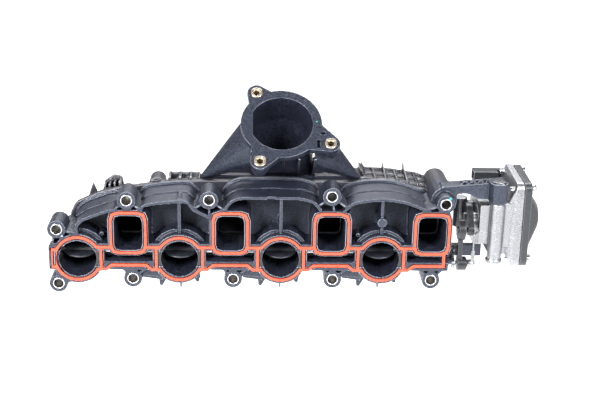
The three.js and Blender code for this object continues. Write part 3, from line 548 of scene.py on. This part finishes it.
NYLON = glass_filled_nylon()
NYLON_REAR = warm_nylon()
NYLON_DARK = dark_nylon()
FLAP = flap_nylon()
COVER = cover_plastic()
SEAL = seal_rubber()
RUBBER = black_rubber()
SLEEVE = sleeve_steel()
SLEEVE_BORE = painted_bore_reflection()
ZINC = zinc_steel()
BRASS = insert_brass()
ALUMINIUM = cast_aluminium()
GEAR = gear_plastic()
BOARD = board_laminate()


# ---------- front moulding ----------
def port_axes():
    return [(x, 0, 0) for x in ROUND_X]


def roofs():
    """The pocket roofs with smooth corners, front part and the part set in behind it."""
    tools = []
    parts = [(0, 0, ROOF_FRONT_END), (-STEP_IN, ROOF_BACK_START, SHELL_DEPTH - 2)]
    for inset, front, back in parts:
        bm = bmesh.new()
        for points in ARCHES:
            outer = [p for p in shifted(points, inset) if p[1] > ROOF_FOOT]
            inner = [p for p in shifted(points, WALL) if p[1] > ROOF_FOOT]
            outline = rounded([*outer, *reversed(inner)])
            prism_into(bm, outline, front, back, UPRIGHT)
        tools.append(("UNION", new_object("roofs", bm)))
    return tools


def half_rings(outer, inner, front, back, low, high, name):
    """Rings round the ports, cut away between low and high."""
    ring = revolve(name, tube_profile(outer, inner, front, back), ALONG_Y, port_axes(), 96)
    slots = [rectangle(x - 40, x + 40, low, high) for x in ROUND_X]
    return carve(ring, [("DIFFERENCE", prisms("slot", slots, front - 1, back + 1))])


def trays():
    """The trough under each rectangular port, with its raised back edge, and the closed last one."""
    front, back = TRAY_DEPTHS
    edges = [rectangle(x - TRAY_HALF, x + TRAY_HALF, TRAY_LOW, TRAY_TOP) for x in RECT_X]
    last = rectangle(RECT_X[-1] - TRAY_HALF, RECT_X[-1] + 12, TRAY_LOW, 8)
    floors = [rectangle(x - TRAY_HALF, x + TRAY_HALF, TRAY_LOW - 1, TRAY_LOW + 1) for x in RECT_X]
    return [("UNION", prisms("tray_edges", edges, front, back)),
            ("UNION", prisms("tray_end", [last], front, back)),
            ("UNION", prisms("tray_floors", floors, 1, back))]


def arm_trusses():
    """Diagonal webs in the cells on top of the actuator arm."""
    first, pitch, thick, lean = 200.6, 6.6, 1.2, 5
    front, back = 15, 24
    arm_low, arm_top = 56, 66.4
    webs = []
    for n in range(5):
        x = first + n * pitch
        webs.append([(x, front), (x + thick, front), (x + thick + lean, back), (x + lean, back)])
    return prisms("trusses", webs, arm_low, arm_top, LIFT)


def low_fins():
    """Three short fins under each round duct but the first, and the plate to the next boss."""
    bm = bmesh.new()
    for x in ROUND_X[1:]:
        left = [(x - 12, -14), (x - 20, -22), (x - 19, -32.5), (x - 16.5, -33), (x - 11, -23)]
        right = [(x + 8, -16), (x + 12, -26), (x + 14, -29.5), (x + 16.5, -29), (x + 17, -14)]
        prism_into(bm, left, 17, 20, UPRIGHT)
        prism_into(bm, right, 17, 20, UPRIGHT)
        prism_into(bm, rectangle(x - 1, x + 1, -34, -18), 15, 34, UPRIGHT)
        plate = [(x - 33, -8), (x - 33, -23.4), (x - 16, -25.8), (x - 12, -8)]
        prism_into(bm, plate, 14, 16.4, UPRIGHT)
    return new_object("fins", bm)


def front_moulding():
    shell = cad_copy("port_shell", "front_moulding")
    boss_places = [(p.x, 0, p.z) for p in SLEEVE_AT]
    bosses = revolve("bosses", rod_profile(BOSS_R, 0, BOSS_LENGTH), ALONG_Y, boss_places)
    lands = half_rings(ROUND_LAND_R, SEAL_R + SEAL_HALF + GAP, 0, BAND_DEPTH, LAND_LOW, LAND_TOP,
                       "lands")
    duct = tube_profile(DUCT_R, DUCT_R - DUCT_WALL, BAND_DEPTH - 1, SHELL_DEPTH - 0.1)
    ducts = revolve("ducts", duct, ALONG_Y, port_axes(), 96)
    collars = half_rings(COLLAR_R, 15, *COLLAR_DEPTHS, -60, COLLAR_TOP, "collars")
    pins = revolve("pins", rod_profile(PIN_R, 10, 24, 0.6), ALONG_Y, PIN_AT)
    holes = revolve("holes", rod_profile(SLEEVE_R + GAP, -1, BOSS_LENGTH + 1), ALONG_Y,
                    boss_places)
    bores = revolve("bores", rod_profile(ROUND_BORE_R, -1, SHELL_DEPTH + 1), ALONG_Y,
                    port_axes(), 96)
    carve(shell, [*roofs(), ("UNION", collars), ("UNION", pins), ("UNION", bosses),
                  ("UNION", lands), ("UNION", ducts), *trays(), ("UNION", arm_trusses()),
                  ("UNION", low_fins()), ("DIFFERENCE", holes), ("DIFFERENCE", bores)])
    mould(shell, 0.65, 2)
    return finish_piece(shell, NYLON, "manifold", "glass_filled_nylon", "port_shell")


def gasket():
    seal = cad_copy("port_gasket", "port_gasket_bead")
    rings = half_rings(SEAL_R + SEAL_HALF, SEAL_R - SEAL_HALF, -SEAL_PROUD, SEAL_DEPTH,
                       SEAL_LOW + SEAL_HALF, SEAL_TOP - SEAL_HALF, "rings")
    clear = revolve("clear", rod_profile(SEAL_R - SEAL_HALF, -2, SEAL_DEPTH + 1), ALONG_Y,
                    port_axes(), 96)
    carve(seal, [("UNION", rings), ("DIFFERENCE", clear)])
    mould(seal, 0.4, 6, slimmer=0.3)
    return finish_piece(seal, SEAL, "manifold", "seal_rubber", "port_gasket")


def sleeves():
    for n, at in enumerate(SLEEVE_AT, 1):
        tube = revolve(f"bolt_sleeve_{n}",
                       tube_profile(SLEEVE_R, SLEEVE_BORE_R, 0.2, SLEEVE_LENGTH + 0.2, 0.35),
                       ALONG_Y, [(at.x, 0, at.z)], 48)
        bevelled(tube, 0.1, 1)
        finish_piece(tube, SLEEVE, "manifold", "sleeve_steel", f"compression_sleeve_{n}")
        # The bore faces get the painted shade and reflection of the bore.
        tube.data.materials.append(SLEEVE_BORE)
        for face in tube.data.polygons:
            spot = TO_MM @ face.center
            if math.hypot(spot.x - at.x, spot.z - at.z) < SLEEVE_BORE_R + 0.1:
                face.material_index = 1


def bearings():
    for n, x in enumerate(ROUND_X, 1):
        for side in ("left", "right"):
            node = f"flap_bearing_{n}_{side}"
            block = cad_copy(node, f"shaft_bearing_{n}_{side}")
            bore = revolve("bore", rod_profile(ROUND_BORE_R, -2, 40), ALONG_Y, [(x, 0, 0)], 96)
            carve(block, [("DIFFERENCE", bore)])
            mould(block, 0.4, 2)
            finish_piece(block, NYLON_DARK, "manifold", "dark_nylon", node)


# ---------- rear and upper mouldings ----------
def rear_moulding():
    shell = cad_copy("plenum_shell", "rear_moulding")
    mould(shell, 0.75, 4)
    return finish_piece(shell, NYLON_REAR, "manifold", "glass_filled_nylon", "plenum_shell")


def neck_moulding():
    neck = cad_copy("inlet_neck", "neck_moulding")
    rim = revolve("rim", tube_profile(INLET_RIM_R, INLET_BORE_R + 1, -INLET_THICK, 0), ON_INLET,
                  segments=128)
    bore = revolve("bore", rod_profile(INLET_BORE_R, -INLET_DEPTH, 1), ON_INLET, segments=128)
    flat = prisms("flat", [rectangle(-INLET_BORE_R - 1, -INLET_BORE_R + 2.6, -40, 40)], -40, 2,
                  LIFT @ ON_INLET)
    carve(bore, [("DIFFERENCE", flat)])
    webs = [("UNION", prisms("web", [UNDER_FLANGE], x - WEB_HALF, x + WEB_HALF, SIDEWAYS))
            for x in WEB_X]
    carve(neck, [("UNION", rim), *webs, ("DIFFERENCE", bore)])
    mould(neck, 0.6, 3)
    return finish_piece(neck, NYLON, "manifold", "glass_filled_nylon", "inlet_neck")


def inlet_inserts():
    outside = [(3.4, 0.25), (4.9, 0.25), (5.3, 0), (5.3, -1.4), (4.9, -1.8), (4.9, -2.4),
               (INSERT_R, -2.8), (INSERT_R, 0.6 - INSERT_DEPTH), (5.1, -INSERT_DEPTH),
               (3, -INSERT_DEPTH)]
    threads = [(2.55 + 0.3 * (k % 2), INSERT_DEPTH * (k / 16 - 1)) for k in range(1, 16)]
    for n, (u, v) in enumerate(INSERTS, 1):
        turn = ON_INLET @ Matrix.Translation((u, v, 0))
        ring = revolve(f"threaded_insert_{n}", [*outside, *threads], turn, segments=48)
        bevelled(ring, 0.08, 1)
        finish_piece(ring, BRASS, "manifold", "insert_brass", f"inlet_insert_{n}")


# ---------- flaps ----------
def flaps():
    turn = Matrix.Rotation(FLAP_TILT, 4, "X")
    rim = [(0, -FLAP_HALF), (FLAP_R - 0.7, -FLAP_HALF), (FLAP_R, -0.3), (FLAP_R, 0.3),
           (FLAP_R - 0.7, FLAP_HALF), (0, FLAP_HALF)]
    for n, x in enumerate(ROUND_X, 1):
        disc = revolve(f"flap_disc_{n}", rim, turn, [(x, SHAFT_Y, 0)], 96)
        hub = revolve("hub", rod_profile(FLAP_HUB_R, -FLAP_HUB_HALF, FLAP_HUB_HALF, 0.6), ALONG_X,
                      [(x, SHAFT_Y, 0)], 48)
        bore = revolve("bore", rod_profile(SHAFT_R + GAP, -20, 20), ALONG_X, [(x, SHAFT_Y, 0)])
        carve(disc, [("UNION", hub), ("DIFFERENCE", bore)])
        mould(disc, 0.4, 2)
        finish_piece(disc, FLAP, "flap_set", "dark_nylon", f"swirl_flap_{n}")


def shaft():
    low, high = (TO_MM @ Vector(corner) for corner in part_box("flap_shaft"))
    bar = revolve("flap_shaft_bar", rod_profile(SHAFT_R, low.x, high.x, 0.5), ALONG_X,
                  [(0, SHAFT_Y, 0)], 48)
    bevelled(bar, 0.15, 1)
    finish_piece(bar, ZINC, "flap_set", "zinc_steel", "flap_shaft")


# ---------- moving linkage ----------
def softened(node, name, look, body, slot, voxel, passes, steps=()):
    """A copy of a CAD node, joined and cut where steps say so, with its edges rounded."""
    piece = cad_copy(node, name)
    if steps:
        carve(piece, steps)
    mould(piece, voxel, passes)
    return finish_piece(piece, look, body, slot, node)


def flap_lever():
    eye = revolve("eye", rod_profile(7, *LEVER_PLATE_X), ALONG_X, [(0, SHAFT_Y, 0)], 64)
    hole = revolve("hole", rod_profile(SHAFT_R + GAP, 190, 200), ALONG_X, [(0, SHAFT_Y, 0)])
    softened("flap_lever", "flap_lever_plate", ZINC, "flap_set", "zinc_steel", 0.3, 2,
             [("UNION", eye), ("DIFFERENCE", hole)])


def actuator_lever():
    round_end = [(0, 208.2), (13.4, 208.2), (13.4, 212.6), (12.4, 213.6), (0, 213.6)]
    hole_r = ACT_SHAFT_R + GAP
    disc = revolve("disc", round_end, ALONG_X, [(0, ACT_Y, ACT_Z)], 96)
    hub = revolve("hub", tube_profile(7.5, hole_r, *ARM_HUB_X, 0.4), ALONG_X, [(0, ACT_Y, ACT_Z)])
    hole = revolve("hole", rod_profile(hole_r, 200, 220), ALONG_X, [(0, ACT_Y, ACT_Z)])
    softened("actuator_lever", "actuator_lever_arm", NYLON_DARK, "actuator_output", "dark_nylon",
             0.35, 2, [("UNION", disc), ("UNION", hub), ("DIFFERENCE", hole)])


def ball_studs():
    lower = [(0, 195.4), (2.2, 195.4), (2.2, 209.2), (3.2, 209.2), (3.6, 210), (3.6, 213.5),
             (3, 216), (1.8, 217), (0, 217)]
    upper = [(0, 198.5), (3.1, 198.5), (3.6, 198.8), (3.6, 199.3), (2.2, 199.3),
             (2.2, 214), (1.8, 214.4), (0, 214.4)]
    studs = [("ball_stud_lower", lower, (0, SHAFT_Y + STUD_Y, STUD_Z), "flap_set",
              "flap_ball_stud"),
             ("ball_stud_upper", upper, (0, ACT_Y + STUD_Y, ACT_Z + STUD_Z), "actuator_output",
              "lever_ball_stud")]
    for name, profile, at, body, node in studs:
        stud = revolve(name, profile, ALONG_X, [at], 40)
        bevelled(stud, 0.15)
        finish_piece(stud, ZINC, body, "zinc_steel", node)


def rod():
    upper_eye = [(2.6, 199.6), (8.6, 199.6), (9.5, 200.4), (9.5, 204.8), (8.6, 205.6),
                 (2.6, 205.6)]
    up = revolve("up", upper_eye, ALONG_X, [(0, SHAFT_Y + STUD_Y, ACT_Z + STUD_Z)], 80)
    low = revolve("low", tube_profile(6.2, 2.7, *ROD_EYE_X, 0.5), ALONG_X,
                  [(0, SHAFT_Y + STUD_Y, STUD_Z)], 64)
    softened("link_rod", "connecting_rod", NYLON_DARK, "rod", "dark_nylon", 0.35, 3,
             [("UNION", up), ("UNION", low)])


def hexagon(across):
    """The outline of a hexagon, given its width across the flats."""
    corner = across / math.sqrt(3)
    return [(corner * math.cos(math.pi / 3 * k), corner * math.sin(math.pi / 3 * k))
            for k in range(6)]


def hex_piece(name, across, profile, turn, at, bore=0.0):
    """A hexagon prism whose corners are turned down to the given profile."""
    low = min(h for _, h in profile)
    high = max(h for _, h in profile)
    to_frame = LIFT @ Matrix.Translation(at) @ turn
    piece = prisms(name, [hexagon(across)], low, high, to_frame)
    steps = [("INTERSECT", revolve("turned", profile, turn, [at], 64))]
    if bore:
        steps.append(("DIFFERENCE", revolve("bore", rod_profile(bore, low - 1, high + 1), turn,
                                            [at], 48)))
    return carve(piece, steps)


def nut():
    profile = [(0, 198.8), (5.2, 198.8), (5.9, 199.3), (5.9, 202.8), (5.1, 203.4), (0, 203.4)]
    piece = hex_piece("lever_nut", 10, profile, ALONG_X, (0, SHAFT_Y, 0), SHAFT_R + GAP)
    bevelled(piece, 0.12)
    finish_piece(piece, ZINC, "flap_set", "zinc_steel", "flap_lever_nut")


# ---------- actuator ----------
def star_socket(y, z):
    """The outline of a six-lobed screw socket round y and z."""
    outline = []
    for k in range(24):
        angle = 2 * math.pi * k / 24
        radius = 1.75 + 0.35 * math.cos(6 * angle)
        outline.append((y + radius * math.cos(angle), z + radius * math.sin(angle)))
    return outline


def cover_screws():
    tip = COVER_X - 12.6
    seat = COVER_X + 6.8
    top = seat + 3.6
    profile = [(0, tip), (1.7, tip), (2.1, tip + 0.5), (2.1, seat), (4.2, seat),
               (4.2, top - 0.8), (3.7, top), (0, top)]
    for n, (_, y, z) in enumerate(COVER_SCREWS, 1):
        screw = revolve(f"cover_bolt_{n}", profile, ALONG_X, [(0, y, z)], 48)
        socket = prisms("socket", [star_socket(y, z)], top - 2, top + 1.6, SIDEWAYS)
        carve(screw, [("DIFFERENCE", socket)])
        bevelled(screw, 0.15)
        finish_piece(screw, ZINC, "manifold", "zinc_steel", f"cover_screw_{n}")


def post_screw():
    x, y = POST
    head = [(0, 66.2), (5.2, 66.2), (6.1, 66.6), (6.1, 69.9), (5.3, 70.6), (0, 70.6)]
    screw = hex_piece("actuator_bolt", 10.8, head, ALONG_Z, (x, y, 0))
    shank = revolve("shank", rod_profile(3, 27, 66.5, 0.4), ALONG_Z, [(x, y, 0)], 40)
    carve(screw, [("UNION", shank)])
    bevelled(screw, 0.15)
    finish_piece(screw, ZINC, "manifold", "zinc_steel", "actuator_screw")


def housing():
    x, y = POST
    pillar = revolve("pillar", rod_profile(6.4, -1.5, 50.6, 0.5), ALONG_Z, [(x, y, 0)])
    foot = revolve("foot", rod_profile(7.4, -4.5, -1, 0.5), ALONG_Z, [(x, y, 0)])
    hole = revolve("hole", rod_profile(3.3, 26, 60), ALONG_Z, [(x, y, 0)])
    boss = revolve("boss", rod_profile(6, 16, 44, 0.8), ALONG_Z, [(207.5, 45, 0)])
    snout = revolve("snout", tube_profile(11, 4.4, *SNOUT_X, 0.4), ALONG_X, [(0, ACT_Y, ACT_Z)])
    softened("actuator_housing", "actuator_casting", ALUMINIUM, "manifold", "cast_aluminium",
             0.5, 3, [("UNION", pillar), ("UNION", foot), ("UNION", boss), ("UNION", snout),
                      ("DIFFERENCE", hole)])


def cover():
    softened("actuator_cover", "actuator_lid", COVER, "manifold", "cover_plastic", 0.5, 4)


def stop_wire():
    softened("travel_stop_wire", "travel_stop", ZINC, "manifold", "zinc_steel", 0.2, 2)


def paint_marks():
    """Two small dabs of inspection paint: beside the last bolt and on the inlet flange."""
    bolt = SLEEVE_AT[MARKED_BOLT - 1]
    spots = [("paint_mark_bolt", ALONG_Y, (bolt.x + 3.2, 0.15, bolt.z + 5.4), 1.5, -1),
             ("paint_mark_inlet", ON_INLET @ Matrix.Translation((31, 2, 0)), (0, 0, 0), 0.9, 1)]
    for name, turn, at, radius, side in spots:
        dome = [(0, -0.2 * side), (radius, -0.2 * side), (radius * 0.8, 0.15 * side),
                (radius * 0.4, 0.28 * side), (0, 0.3 * side)]
        dot = revolve(name, dome, turn, [at], 24)
        bevelled(dot, 0.05)
        paint = marking_paint(name, (0.015, 0.4, 0.38))
        finish_piece(dot, paint, "manifold", "cover_plastic")


def carried_over():
    """Better materials for the CAD nodes that keep their shape, nearly all inside the actuator."""
    looks = {
        "shaft_end_seal": RUBBER, "cover_gasket": RUBBER, "output_gear": GEAR,
        "idler_gear": GEAR, "motor_pinion": BRASS, "circuit_board": BOARD,
        "connector_terminals": ZINC, "output_shaft": ZINC, "output_bearing": ZINC,
        "idler_pin": ZINC, "motor_can": ZINC,
    }
    for node, look in looks.items():
        for slot in frame["nodes"][node].material_slots:
            slot.material = look


# ---------- studio ----------
# Places in metres, angles in degrees and powers in watts.
LENS_MM = 69
SENSOR_MM = 36
CAMERA_AT = (0.01534, -0.92943, 0.39411)
CAMERA_TURN = (70.476, -1.2601, -2.2932)
FLOOR_DROP = 0.35
# Each light: name, place, the spot it points at, width, height and power.
LIGHTS = [
    ("top", (0.1, 0.85, 1.0), (0, 0.04, 0.03), 1.3, 0.6, 20),
    ("front_left", (-0.8, -1.0, 0.75), (0, 0, 0.03), 0.5, 0.5, 40),
    ("front_right", (0.9, -1.0, 0.8), (0, 0, 0.03), 0.4, 0.5, 28),
]


def camera():
    data = bpy.data.cameras.new("camera")
    data.lens = LENS_MM
    data.sensor_width = SENSOR_MM
    obj = bpy.data.objects.new("camera", data)
    obj.location = CAMERA_AT
    obj.rotation_euler = [math.radians(angle) for angle in CAMERA_TURN]
    bpy.context.scene.collection.objects.link(obj)
    bpy.context.scene.camera = obj


def softbox(name, spot, target, width, height, power):
    data = bpy.data.lights.new(name, "AREA")
    data.shape = "RECTANGLE"
    data.size = width
    data.size_y = height
    data.energy = power
    obj = bpy.data.objects.new(name, data)
    obj.location = spot
    obj.rotation_euler = (Vector(target) - Vector(spot)).to_track_quat("-Z", "Y").to_euler()
    bpy.context.scene.collection.objects.link(obj)


def floor_sheet():
    bm = bmesh.new()
    bmesh.ops.create_grid(bm, x_segments=1, y_segments=1, size=12)
    floor = new_object("floor", bm)
    floor.location = (0, 0, cad_box[0][2] - FLOOR_DROP)
    material = bpy.data.materials.new("white_sweep")
    material.use_nodes = True
    shader = material.node_tree.nodes["Principled BSDF"]
    shader.inputs["Base Color"].default_value = (0.9, 0.9, 0.9, 1)
    shader.inputs["Roughness"].default_value = 0.9
    shader.inputs["Emission Color"].default_value = (1, 1, 1, 1)
    shader.inputs["Emission Strength"].default_value = 0.9
    floor.data.materials.append(material)


def studio():
    world = bpy.data.worlds.new("world")
    world.use_nodes = True
    world.node_tree.nodes["Background"].inputs["Color"].default_value = (1, 1, 1, 1)
    world.node_tree.nodes["Background"].inputs["Strength"].default_value = 0.3
    bpy.context.scene.world = world
    for light in LIGHTS:
        softbox(*light)
    bpy.context.scene.view_settings.view_transform = "Standard"


# ---------- the scene ----------
camera()
front_moulding()
gasket()
sleeves()
bearings()
rear_moulding()
neck_moulding()
inlet_inserts()
flaps()
shaft()
flap_lever()
actuator_lever()
ball_studs()
rod()
nut()
housing()
cover()
cover_screws()
post_screw()
stop_wire()
paint_marks()
carried_over()
floor_sheet()
studio()

bpy.context.view_layer.update()
